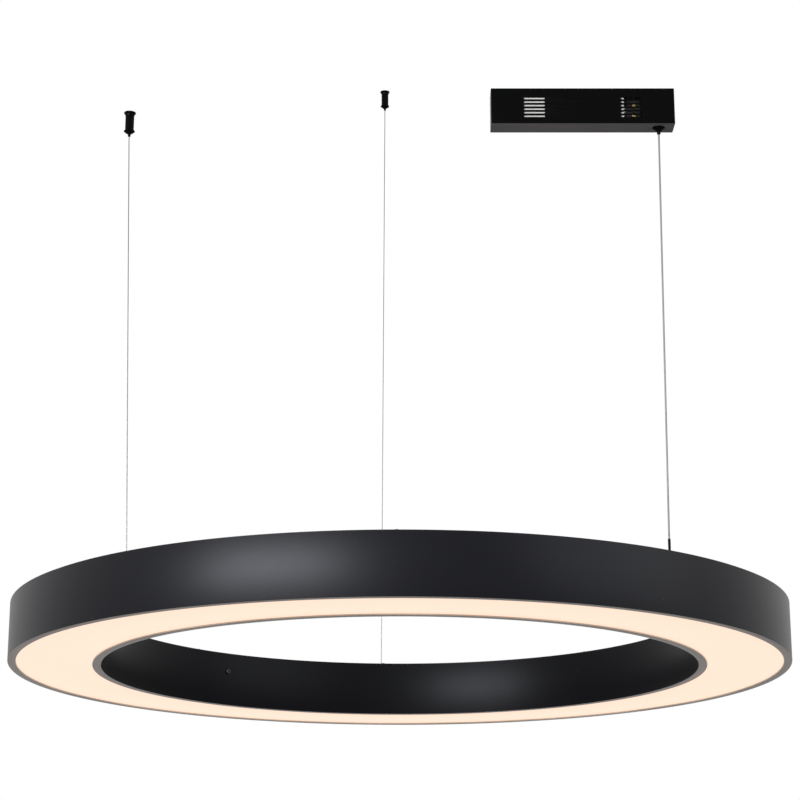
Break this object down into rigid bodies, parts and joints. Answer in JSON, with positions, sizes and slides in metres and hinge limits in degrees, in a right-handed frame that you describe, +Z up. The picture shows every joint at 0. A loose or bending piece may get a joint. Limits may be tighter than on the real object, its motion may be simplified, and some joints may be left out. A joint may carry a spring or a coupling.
{
  "type": "pendant light",
  "caption": "Round pendant light: a slim black ring with a glowing opal underside, hung level from thin wires and a power cable, with ceiling grippers and a long narrow canopy.",
  "frame": {"origin": "centre of the canopy bracket's ceiling face", "axes": "+Z up out of the lamp into the ceiling, +X along the canopy towards its cable end, +Y away from the picture's camera"},
  "size_m": [1, 1, 1.0105],
  "materials": {
    "ring_coat": "matte",
    "black_screws": "satin",
    "rib_zinc": "satin",
    "carrier_white": "matte",
    "zinc_screws": "satin",
    "board_white": "satin",
    "chip_yellow": "satin",
    "plug_white": "matte",
    "opal": "satin",
    "clip_spring_steel": "satin",
    "socket_black": "satin",
    "crimp_alloy": "satin",
    "sleeve_rubber": "matte",
    "lead_jacket": "satin",
    "canopy_coat": "matte",
    "bracket_zinc": "satin",
    "grommet_rubber": "matte",
    "driver_white": "satin",
    "board_green": "satin",
    "component_dark": "satin",
    "terminal_black": "satin",
    "terminal_brass": "satin",
    "cable_jacket": "satin",
    "wire_steel": "satin",
    "gripper_black": "satin",
    "nozzle_black": "satin",
    "ball_steel": "polished",
    "spring_steel": "satin"
  },
  "bodies": {
    "root": {"bracket_screws": "zinc_screws", "ceiling_bracket": "bracket_zinc", "driver_board": "board_green", "driver_case": "driver_white", "driver_components": "component_dark", "driver_lid": "driver_white", "hanger_nut": "zinc_screws", "hanger_screws": "zinc_screws", "left_anchor": "gripper_black", "left_barrel": "gripper_black", "left_spring": "spring_steel", "left_wire": "wire_steel", "mains_grommet": "grommet_rubber", "mains_lead": "lead_jacket", "middle_anchor": "gripper_black", "middle_barrel": "gripper_black", "middle_spring": "spring_steel", "middle_wire": "wire_steel", "output_lead": "lead_jacket", "power_anchor": "gripper_black", "power_barrel": "gripper_black", "power_cable": "cable_jacket", "power_hanger": "bracket_zinc", "power_lead": "cable_jacket", "power_spring": "spring_steel", "terminal_block": "terminal_black", "terminal_screws": "terminal_brass"},
    "ring": {"outer_hoop": "ring_coat", "inner_hoop": "ring_coat", "top_plate": "ring_coat", "top_plate_screws": "black_screws", "hanger_ribs": "rib_zinc", "cross_ribs": "rib_zinc", "light_carrier": "carrier_white", "carrier_screws": "zinc_screws", "light_boards": "board_white", "light_chips": "chip_yellow", "board_links": "plug_white", "diffuser": "opal", "diffuser_clips": "clip_spring_steel", "seam_plates": "rib_zinc", "seam_screws": "black_screws", "wire_sockets": "socket_black", "cable_socket": "socket_black", "socket_nuts": "rib_zinc", "ferrules": "crimp_alloy", "cable_sleeve": "sleeve_rubber", "ring_lead": "lead_jacket", "ring_connector": "plug_white"},
    "canopy_cover": {"canopy_cover": "canopy_coat"},
    "left_nozzle": {"left_nozzle": "nozzle_black", "left_balls": "ball_steel"},
    "middle_nozzle": {"middle_nozzle": "nozzle_black", "middle_balls": "ball_steel"},
    "power_nozzle": {"power_nozzle": "nozzle_black", "power_balls": "ball_steel"}
  },
  "joints": [
    {"name": "height_adjust", "type": "slide", "parent": "root", "child": "ring", "axis": [0, 0, 1], "range_m": [0, 0.3], "deforming": ["left_wire", "middle_wire", "power_cable"]},
    {"name": "left_release", "type": "slide", "parent": "root", "child": "left_nozzle", "axis": [0, 0, 1], "range_m": [0, 0.002], "stiffness_N_per_m": 400, "springref_m": -0.003, "deforming": ["left_spring"]},
    {"name": "middle_release", "type": "slide", "parent": "root", "child": "middle_nozzle", "axis": [0, 0, 1], "range_m": [0, 0.002], "stiffness_N_per_m": 400, "springref_m": -0.003, "deforming": ["middle_spring"]},
    {"name": "power_release", "type": "slide", "parent": "root", "child": "power_nozzle", "axis": [0, 0, 1], "range_m": [0, 0.002], "stiffness_N_per_m": 400, "springref_m": -0.003, "deforming": ["power_spring"]},
    {"name": "cover_drop", "type": "slide", "parent": "root", "child": "canopy_cover", "axis": [0, 0, -1], "range_m": [0, 0.08]}
  ]
}
